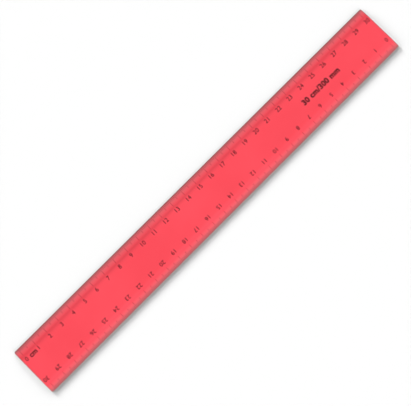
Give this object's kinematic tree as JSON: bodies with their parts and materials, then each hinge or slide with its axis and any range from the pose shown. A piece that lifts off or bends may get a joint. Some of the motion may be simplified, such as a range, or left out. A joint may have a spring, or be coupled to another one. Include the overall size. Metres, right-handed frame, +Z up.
{
  "type": "flexible ruler",
  "caption": "Flexible 30 cm ruler: a thin soft plastic strip with two bevelled, graduated edges, that rolls up from both ends and twists.",
  "frame": {"origin": "on the underside, below the middle of the scale (15 cm on both scales)", "axes": "+X along the scale, towards 30 cm on the scale at the +Y edge; +Y across the ruler; +Z up, out of the printed side"},
  "size_m": [0.306, 0.034, 0.0012],
  "materials": {
    "red_plastic": "soft satin plastic, bright red, a little see-through at the thin edges",
    "dark_ink": "dark brownish red stamped ink in the graduations and numerals"
  },
  "bodies": {
    "centre_link": {"centre_link": "red_plastic"},
    "right_link_01": {"right_link_01": "red_plastic"},
    "right_link_02": {"right_link_02": "red_plastic"},
    "right_link_03": {"right_link_03": "red_plastic"},
    "right_link_04": {"right_link_04": "red_plastic"},
    "right_link_05": {"right_link_05": "red_plastic"},
    "right_link_06": {"right_link_06": "red_plastic"},
    "right_link_07": {"right_link_07": "red_plastic"},
    "right_link_08": {"right_link_08": "red_plastic"},
    "right_link_09": {"right_link_09": "red_plastic"},
    "right_link_10": {"right_link_10": "red_plastic"},
    "right_link_11": {"right_link_11": "red_plastic"},
    "right_link_12": {"right_link_12": "red_plastic"},
    "right_link_13": {"right_link_13": "red_plastic"},
    "right_link_14": {"right_link_14": "red_plastic"},
    "right_link_15": {"right_link_15": "red_plastic"},
    "right_link_16": {"right_link_16": "red_plastic"},
    "right_link_17": {"right_link_17": "red_plastic"},
    "right_link_18": {"right_link_18": "red_plastic"},
    "right_link_19": {"right_link_19": "red_plastic"},
    "right_link_20": {"right_link_20": "red_plastic"},
    "right_link_21": {"right_link_21": "red_plastic"},
    "right_link_22": {"right_link_22": "red_plastic"},
    "right_link_23": {"right_link_23": "red_plastic"},
    "right_link_24": {"right_link_24": "red_plastic"},
    "right_link_25": {"right_link_25": "red_plastic"},
    "right_link_26": {"right_link_26": "red_plastic"},
    "right_link_27": {"right_link_27": "red_plastic"},
    "right_link_28": {"right_link_28": "red_plastic"},
    "right_end": {"right_end": "red_plastic"},
    "left_link_01": {"left_link_01": "red_plastic"},
    "left_link_02": {"left_link_02": "red_plastic"},
    "left_link_03": {"left_link_03": "red_plastic"},
    "left_link_04": {"left_link_04": "red_plastic"},
    "left_link_05": {"left_link_05": "red_plastic"},
    "left_link_06": {"left_link_06": "red_plastic"},
    "left_link_07": {"left_link_07": "red_plastic"},
    "left_link_08": {"left_link_08": "red_plastic"},
    "left_link_09": {"left_link_09": "red_plastic"},
    "left_link_10": {"left_link_10": "red_plastic"},
    "left_link_11": {"left_link_11": "red_plastic"},
    "left_link_12": {"left_link_12": "red_plastic"},
    "left_link_13": {"left_link_13": "red_plastic"},
    "left_link_14": {"left_link_14": "red_plastic"},
    "left_link_15": {"left_link_15": "red_plastic"},
    "left_link_16": {"left_link_16": "red_plastic"},
    "left_link_17": {"left_link_17": "red_plastic"},
    "left_link_18": {"left_link_18": "red_plastic"},
    "left_link_19": {"left_link_19": "red_plastic"},
    "left_link_20": {"left_link_20": "red_plastic"},
    "left_link_21": {"left_link_21": "red_plastic"},
    "left_link_22": {"left_link_22": "red_plastic"},
    "left_link_23": {"left_link_23": "red_plastic"},
    "left_link_24": {"left_link_24": "red_plastic"},
    "left_link_25": {"left_link_25": "red_plastic"},
    "left_link_26": {"left_link_26": "red_plastic"},
    "left_link_27": {"left_link_27": "red_plastic"},
    "left_link_28": {"left_link_28": "red_plastic"},
    "left_end": {"left_end": "red_plastic"}
  },
  "joints": [
    {"name": "right_end_curl", "type": "hinge", "parent": "centre_link", "child": "right_link_01", "pos_m": [0.0025, 0, 0.0006], "axis": [0, -1, 0], "range_deg": [-6.95, 6.95], "stiffness_Nm_per_rad": 0.024},
    {"name": "right_end_twist", "type": "hinge", "parent": "right_link_01", "child": "right_link_02", "pos_m": [0.0075, 0, 0.0006], "axis": [1, 0, 0], "range_deg": [-6.5, 6.5], "stiffness_Nm_per_rad": 0.03},
    {"name": "right_bend_03", "type": "hinge", "parent": "right_link_02", "child": "right_link_03", "pos_m": [0.0125, 0, 0.0006], "axis": [0, -1, 0], "range_deg": [-9.09, 9.09], "stiffness_Nm_per_rad": 0.024},
    {"name": "right_twist_04", "type": "hinge", "parent": "right_link_03", "child": "right_link_04", "pos_m": [0.0175, 0, 0.0006], "axis": [1, 0, 0], "range_deg": [-6.5, 6.5], "stiffness_Nm_per_rad": 0.03},
    {"name": "right_bend_05", "type": "hinge", "parent": "right_link_04", "child": "right_link_05", "pos_m": [0.0225, 0, 0.0006], "axis": [0, -1, 0], "range_deg": [-11.23, 11.23], "stiffness_Nm_per_rad": 0.024},
    {"name": "right_twist_06", "type": "hinge", "parent": "right_link_05", "child": "right_link_06", "pos_m": [0.0275, 0, 0.0006], "axis": [1, 0, 0], "range_deg": [-6.5, 6.5], "stiffness_Nm_per_rad": 0.03},
    {"name": "right_bend_07", "type": "hinge", "parent": "right_link_06", "child": "right_link_07", "pos_m": [0.0325, 0, 0.0006], "axis": [0, -1, 0], "range_deg": [-13.37, 13.37], "stiffness_Nm_per_rad": 0.024},
    {"name": "right_twist_08", "type": "hinge", "parent": "right_link_07", "child": "right_link_08", "pos_m": [0.0375, 0, 0.0006], "axis": [1, 0, 0], "range_deg": [-6.5, 6.5], "stiffness_Nm_per_rad": 0.03},
    {"name": "right_bend_09", "type": "hinge", "parent": "right_link_08", "child": "right_link_09", "pos_m": [0.0425, 0, 0.0006], "axis": [0, -1, 0], "range_deg": [-15.5, 15.5], "stiffness_Nm_per_rad": 0.024},
    {"name": "right_twist_10", "type": "hinge", "parent": "right_link_09", "child": "right_link_10", "pos_m": [0.0475, 0, 0.0006], "axis": [1, 0, 0], "range_deg": [-6.5, 6.5], "stiffness_Nm_per_rad": 0.03},
    {"name": "right_bend_11", "type": "hinge", "parent": "right_link_10", "child": "right_link_11", "pos_m": [0.0525, 0, 0.0006], "axis": [0, -1, 0], "range_deg": [-17.64, 17.64], "stiffness_Nm_per_rad": 0.024},
    {"name": "right_twist_12", "type": "hinge", "parent": "right_link_11", "child": "right_link_12", "pos_m": [0.0575, 0, 0.0006], "axis": [1, 0, 0], "range_deg": [-6.5, 6.5], "stiffness_Nm_per_rad": 0.03},
    {"name": "right_bend_13", "type": "hinge", "parent": "right_link_12", "child": "right_link_13", "pos_m": [0.0625, 0, 0.0006], "axis": [0, -1, 0], "range_deg": [-19.78, 19.78], "stiffness_Nm_per_rad": 0.024},
    {"name": "right_twist_14", "type": "hinge", "parent": "right_link_13", "child": "right_link_14", "pos_m": [0.0675, 0, 0.0006], "axis": [1, 0, 0], "range_deg": [-6.5, 6.5], "stiffness_Nm_per_rad": 0.03},
    {"name": "right_bend_15", "type": "hinge", "parent": "right_link_14", "child": "right_link_15", "pos_m": [0.0725, 0, 0.0006], "axis": [0, -1, 0], "range_deg": [-21.92, 21.92], "stiffness_Nm_per_rad": 0.024},
    {"name": "right_twist_16", "type": "hinge", "parent": "right_link_15", "child": "right_link_16", "pos_m": [0.0775, 0, 0.0006], "axis": [1, 0, 0], "range_deg": [-6.5, 6.5], "stiffness_Nm_per_rad": 0.03},
    {"name": "right_bend_17", "type": "hinge", "parent": "right_link_16", "child": "right_link_17", "pos_m": [0.0825, 0, 0.0006], "axis": [0, -1, 0], "range_deg": [-24.06, 24.06], "stiffness_Nm_per_rad": 0.024},
    {"name": "right_twist_18", "type": "hinge", "parent": "right_link_17", "child": "right_link_18", "pos_m": [0.0875, 0, 0.0006], "axis": [1, 0, 0], "range_deg": [-6.5, 6.5], "stiffness_Nm_per_rad": 0.03},
    {"name": "right_bend_19", "type": "hinge", "parent": "right_link_18", "child": "right_link_19", "pos_m": [0.0925, 0, 0.0006], "axis": [0, -1, 0], "range_deg": [-26.2, 26.2], "stiffness_Nm_per_rad": 0.024},
    {"name": "right_twist_20", "type": "hinge", "parent": "right_link_19", "child": "right_link_20", "pos_m": [0.0975, 0, 0.0006], "axis": [1, 0, 0], "range_deg": [-6.5, 6.5], "stiffness_Nm_per_rad": 0.03},
    {"name": "right_bend_21", "type": "hinge", "parent": "right_link_20", "child": "right_link_21", "pos_m": [0.1025, 0, 0.0006], "axis": [0, -1, 0], "range_deg": [-28.34, 28.34], "stiffness_Nm_per_rad": 0.024},
    {"name": "right_twist_22", "type": "hinge", "parent": "right_link_21", "child": "right_link_22", "pos_m": [0.1075, 0, 0.0006], "axis": [1, 0, 0], "range_deg": [-6.5, 6.5], "stiffness_Nm_per_rad": 0.03},
    {"name": "right_bend_23", "type": "hinge", "parent": "right_link_22", "child": "right_link_23", "pos_m": [0.1125, 0, 0.0006], "axis": [0, -1, 0], "range_deg": [-29.94, 29.94], "stiffness_Nm_per_rad": 0.024},
    {"name": "right_twist_24", "type": "hinge", "parent": "right_link_23", "child": "right_link_24", "pos_m": [0.1175, 0, 0.0006], "axis": [1, 0, 0], "range_deg": [-6.5, 6.5], "stiffness_Nm_per_rad": 0.03},
    {"name": "right_bend_25", "type": "hinge", "parent": "right_link_24", "child": "right_link_25", "pos_m": [0.1225, 0, 0.0006], "axis": [0, -1, 0], "range_deg": [-29.94, 29.94], "stiffness_Nm_per_rad": 0.024},
    {"name": "right_twist_26", "type": "hinge", "parent": "right_link_25", "child": "right_link_26", "pos_m": [0.1275, 0, 0.0006], "axis": [1, 0, 0], "range_deg": [-6.5, 6.5], "stiffness_Nm_per_rad": 0.03},
    {"name": "right_bend_27", "type": "hinge", "parent": "right_link_26", "child": "right_link_27", "pos_m": [0.1325, 0, 0.0006], "axis": [0, -1, 0], "range_deg": [-29.94, 29.94], "stiffness_Nm_per_rad": 0.024},
    {"name": "right_twist_28", "type": "hinge", "parent": "right_link_27", "child": "right_link_28", "pos_m": [0.1375, 0, 0.0006], "axis": [1, 0, 0], "range_deg": [-6.5, 6.5], "stiffness_Nm_per_rad": 0.03},
    {"name": "right_bend_29", "type": "hinge", "parent": "right_link_28", "child": "right_end", "pos_m": [0.1425, 0, 0.0006], "axis": [0, -1, 0], "range_deg": [-29.94, 29.94], "stiffness_Nm_per_rad": 0.024},
    {"name": "left_end_curl", "type": "hinge", "parent": "centre_link", "child": "left_link_01", "pos_m": [-0.0025, 0, 0.0006], "axis": [0, 1, 0], "range_deg": [-6.95, 6.95], "stiffness_Nm_per_rad": 0.024},
    {"name": "left_end_twist", "type": "hinge", "parent": "left_link_01", "child": "left_link_02", "pos_m": [-0.0075, 0, 0.0006], "axis": [-1, 0, 0], "range_deg": [-6.5, 6.5], "stiffness_Nm_per_rad": 0.03},
    {"name": "left_bend_03", "type": "hinge", "parent": "left_link_02", "child": "left_link_03", "pos_m": [-0.0125, 0, 0.0006], "axis": [0, 1, 0], "range_deg": [-9.09, 9.09], "stiffness_Nm_per_rad": 0.024},
    {"name": "left_twist_04", "type": "hinge", "parent": "left_link_03", "child": "left_link_04", "pos_m": [-0.0175, 0, 0.0006], "axis": [-1, 0, 0], "range_deg": [-6.5, 6.5], "stiffness_Nm_per_rad": 0.03},
    {"name": "left_bend_05", "type": "hinge", "parent": "left_link_04", "child": "left_link_05", "pos_m": [-0.0225, 0, 0.0006], "axis": [0, 1, 0], "range_deg": [-11.23, 11.23], "stiffness_Nm_per_rad": 0.024},
    {"name": "left_twist_06", "type": "hinge", "parent": "left_link_05", "child": "left_link_06", "pos_m": [-0.0275, 0, 0.0006], "axis": [-1, 0, 0], "range_deg": [-6.5, 6.5], "stiffness_Nm_per_rad": 0.03},
    {"name": "left_bend_07", "type": "hinge", "parent": "left_link_06", "child": "left_link_07", "pos_m": [-0.0325, 0, 0.0006], "axis": [0, 1, 0], "range_deg": [-13.37, 13.37], "stiffness_Nm_per_rad": 0.024},
    {"name": "left_twist_08", "type": "hinge", "parent": "left_link_07", "child": "left_link_08", "pos_m": [-0.0375, 0, 0.0006], "axis": [-1, 0, 0], "range_deg": [-6.5, 6.5], "stiffness_Nm_per_rad": 0.03},
    {"name": "left_bend_09", "type": "hinge", "parent": "left_link_08", "child": "left_link_09", "pos_m": [-0.0425, 0, 0.0006], "axis": [0, 1, 0], "range_deg": [-15.5, 15.5], "stiffness_Nm_per_rad": 0.024},
    {"name": "left_twist_10", "type": "hinge", "parent": "left_link_09", "child": "left_link_10", "pos_m": [-0.0475, 0, 0.0006], "axis": [-1, 0, 0], "range_deg": [-6.5, 6.5], "stiffness_Nm_per_rad": 0.03},
    {"name": "left_bend_11", "type": "hinge", "parent": "left_link_10", "child": "left_link_11", "pos_m": [-0.0525, 0, 0.0006], "axis": [0, 1, 0], "range_deg": [-17.64, 17.64], "stiffness_Nm_per_rad": 0.024},
    {"name": "left_twist_12", "type": "hinge", "parent": "left_link_11", "child": "left_link_12", "pos_m": [-0.0575, 0, 0.0006], "axis": [-1, 0, 0], "range_deg": [-6.5, 6.5], "stiffness_Nm_per_rad": 0.03},
    {"name": "left_bend_13", "type": "hinge", "parent": "left_link_12", "child": "left_link_13", "pos_m": [-0.0625, 0, 0.0006], "axis": [0, 1, 0], "range_deg": [-19.78, 19.78], "stiffness_Nm_per_rad": 0.024},
    {"name": "left_twist_14", "type": "hinge", "parent": "left_link_13", "child": "left_link_14", "pos_m": [-0.0675, 0, 0.0006], "axis": [-1, 0, 0], "range_deg": [-6.5, 6.5], "stiffness_Nm_per_rad": 0.03},
    {"name": "left_bend_15", "type": "hinge", "parent": "left_link_14", "child": "left_link_15", "pos_m": [-0.0725, 0, 0.0006], "axis": [0, 1, 0], "range_deg": [-21.92, 21.92], "stiffness_Nm_per_rad": 0.024},
    {"name": "left_twist_16", "type": "hinge", "parent": "left_link_15", "child": "left_link_16", "pos_m": [-0.0775, 0, 0.0006], "axis": [-1, 0, 0], "range_deg": [-6.5, 6.5], "stiffness_Nm_per_rad": 0.03},
    {"name": "left_bend_17", "type": "hinge", "parent": "left_link_16", "child": "left_link_17", "pos_m": [-0.0825, 0, 0.0006], "axis": [0, 1, 0], "range_deg": [-24.06, 24.06], "stiffness_Nm_per_rad": 0.024},
    {"name": "left_twist_18", "type": "hinge", "parent": "left_link_17", "child": "left_link_18", "pos_m": [-0.0875, 0, 0.0006], "axis": [-1, 0, 0], "range_deg": [-6.5, 6.5], "stiffness_Nm_per_rad": 0.03},
    {"name": "left_bend_19", "type": "hinge", "parent": "left_link_18", "child": "left_link_19", "pos_m": [-0.0925, 0, 0.0006], "axis": [0, 1, 0], "range_deg": [-26.2, 26.2], "stiffness_Nm_per_rad": 0.024},
    {"name": "left_twist_20", "type": "hinge", "parent": "left_link_19", "child": "left_link_20", "pos_m": [-0.0975, 0, 0.0006], "axis": [-1, 0, 0], "range_deg": [-6.5, 6.5], "stiffness_Nm_per_rad": 0.03},
    {"name": "left_bend_21", "type": "hinge", "parent": "left_link_20", "child": "left_link_21", "pos_m": [-0.1025, 0, 0.0006], "axis": [0, 1, 0], "range_deg": [-28.34, 28.34], "stiffness_Nm_per_rad": 0.024},
    {"name": "left_twist_22", "type": "hinge", "parent": "left_link_21", "child": "left_link_22", "pos_m": [-0.1075, 0, 0.0006], "axis": [-1, 0, 0], "range_deg": [-6.5, 6.5], "stiffness_Nm_per_rad": 0.03},
    {"name": "left_bend_23", "type": "hinge", "parent": "left_link_22", "child": "left_link_23", "pos_m": [-0.1125, 0, 0.0006], "axis": [0, 1, 0], "range_deg": [-29.94, 29.94], "stiffness_Nm_per_rad": 0.024},
    {"name": "left_twist_24", "type": "hinge", "parent": "left_link_23", "child": "left_link_24", "pos_m": [-0.1175, 0, 0.0006], "axis": [-1, 0, 0], "range_deg": [-6.5, 6.5], "stiffness_Nm_per_rad": 0.03},
    {"name": "left_bend_25", "type": "hinge", "parent": "left_link_24", "child": "left_link_25", "pos_m": [-0.1225, 0, 0.0006], "axis": [0, 1, 0], "range_deg": [-29.94, 29.94], "stiffness_Nm_per_rad": 0.024},
    {"name": "left_twist_26", "type": "hinge", "parent": "left_link_25", "child": "left_link_26", "pos_m": [-0.1275, 0, 0.0006], "axis": [-1, 0, 0], "range_deg": [-6.5, 6.5], "stiffness_Nm_per_rad": 0.03},
    {"name": "left_bend_27", "type": "hinge", "parent": "left_link_26", "child": "left_link_27", "pos_m": [-0.1325, 0, 0.0006], "axis": [0, 1, 0], "range_deg": [-29.94, 29.94], "stiffness_Nm_per_rad": 0.024},
    {"name": "left_twist_28", "type": "hinge", "parent": "left_link_27", "child": "left_link_28", "pos_m": [-0.1375, 0, 0.0006], "axis": [-1, 0, 0], "range_deg": [-6.5, 6.5], "stiffness_Nm_per_rad": 0.03},
    {"name": "left_bend_29", "type": "hinge", "parent": "left_link_28", "child": "left_end", "pos_m": [-0.1425, 0, 0.0006], "axis": [0, 1, 0], "range_deg": [-29.94, 29.94], "stiffness_Nm_per_rad": 0.024}
  ],
  "couplings": [
    {"joint": "right_bend_03", "follows": "right_end_curl", "ratio": 1.3077},
    {"joint": "right_twist_04", "follows": "right_end_twist", "ratio": 1},
    {"joint": "right_bend_05", "follows": "right_end_curl", "ratio": 1.6154},
    {"joint": "right_twist_06", "follows": "right_end_twist", "ratio": 1},
    {"joint": "right_bend_07", "follows": "right_end_curl", "ratio": 1.9231},
    {"joint": "right_twist_08", "follows": "right_end_twist", "ratio": 1},
    {"joint": "right_bend_09", "follows": "right_end_curl", "ratio": 2.2308},
    {"joint": "right_twist_10", "follows": "right_end_twist", "ratio": 1},
    {"joint": "right_bend_11", "follows": "right_end_curl", "ratio": 2.5385},
    {"joint": "right_twist_12", "follows": "right_end_twist", "ratio": 1},
    {"joint": "right_bend_13", "follows": "right_end_curl", "ratio": 2.8462},
    {"joint": "right_twist_14", "follows": "right_end_twist", "ratio": 1},
    {"joint": "right_bend_15", "follows": "right_end_curl", "ratio": 3.1538},
    {"joint": "right_twist_16", "follows": "right_end_twist", "ratio": 1},
    {"joint": "right_bend_17", "follows": "right_end_curl", "ratio": 3.4615},
    {"joint": "right_twist_18", "follows": "right_end_twist", "ratio": 1},
    {"joint": "right_bend_19", "follows": "right_end_curl", "ratio": 3.7692},
    {"joint": "right_twist_20", "follows": "right_end_twist", "ratio": 1},
    {"joint": "right_bend_21", "follows": "right_end_curl", "ratio": 4.0769},
    {"joint": "right_twist_22", "follows": "right_end_twist", "ratio": 1},
    {"joint": "right_bend_23", "follows": "right_end_curl", "ratio": 4.3077},
    {"joint": "right_twist_24", "follows": "right_end_twist", "ratio": 1},
    {"joint": "right_bend_25", "follows": "right_end_curl", "ratio": 4.3077},
    {"joint": "right_twist_26", "follows": "right_end_twist", "ratio": 1},
    {"joint": "right_bend_27", "follows": "right_end_curl", "ratio": 4.3077},
    {"joint": "right_twist_28", "follows": "right_end_twist", "ratio": 1},
    {"joint": "right_bend_29", "follows": "right_end_curl", "ratio": 4.3077},
    {"joint": "left_bend_03", "follows": "left_end_curl", "ratio": 1.3077},
    {"joint": "left_twist_04", "follows": "left_end_twist", "ratio": 1},
    {"joint": "left_bend_05", "follows": "left_end_curl", "ratio": 1.6154},
    {"joint": "left_twist_06", "follows": "left_end_twist", "ratio": 1},
    {"joint": "left_bend_07", "follows": "left_end_curl", "ratio": 1.9231},
    {"joint": "left_twist_08", "follows": "left_end_twist", "ratio": 1},
    {"joint": "left_bend_09", "follows": "left_end_curl", "ratio": 2.2308},
    {"joint": "left_twist_10", "follows": "left_end_twist", "ratio": 1},
    {"joint": "left_bend_11", "follows": "left_end_curl", "ratio": 2.5385},
    {"joint": "left_twist_12", "follows": "left_end_twist", "ratio": 1},
    {"joint": "left_bend_13", "follows": "left_end_curl", "ratio": 2.8462},
    {"joint": "left_twist_14", "follows": "left_end_twist", "ratio": 1},
    {"joint": "left_bend_15", "follows": "left_end_curl", "ratio": 3.1538},
    {"joint": "left_twist_16", "follows": "left_end_twist", "ratio": 1},
    {"joint": "left_bend_17", "follows": "left_end_curl", "ratio": 3.4615},
    {"joint": "left_twist_18", "follows": "left_end_twist", "ratio": 1},
    {"joint": "left_bend_19", "follows": "left_end_curl", "ratio": 3.7692},
    {"joint": "left_twist_20", "follows": "left_end_twist", "ratio": 1},
    {"joint": "left_bend_21", "follows": "left_end_curl", "ratio": 4.0769},
    {"joint": "left_twist_22", "follows": "left_end_twist", "ratio": 1},
    {"joint": "left_bend_23", "follows": "left_end_curl", "ratio": 4.3077},
    {"joint": "left_twist_24", "follows": "left_end_twist", "ratio": 1},
    {"joint": "left_bend_25", "follows": "left_end_curl", "ratio": 4.3077},
    {"joint": "left_twist_26", "follows": "left_end_twist", "ratio": 1},
    {"joint": "left_bend_27", "follows": "left_end_curl", "ratio": 4.3077},
    {"joint": "left_twist_28", "follows": "left_end_twist", "ratio": 1},
    {"joint": "left_bend_29", "follows": "left_end_curl", "ratio": 4.3077}
  ]
}
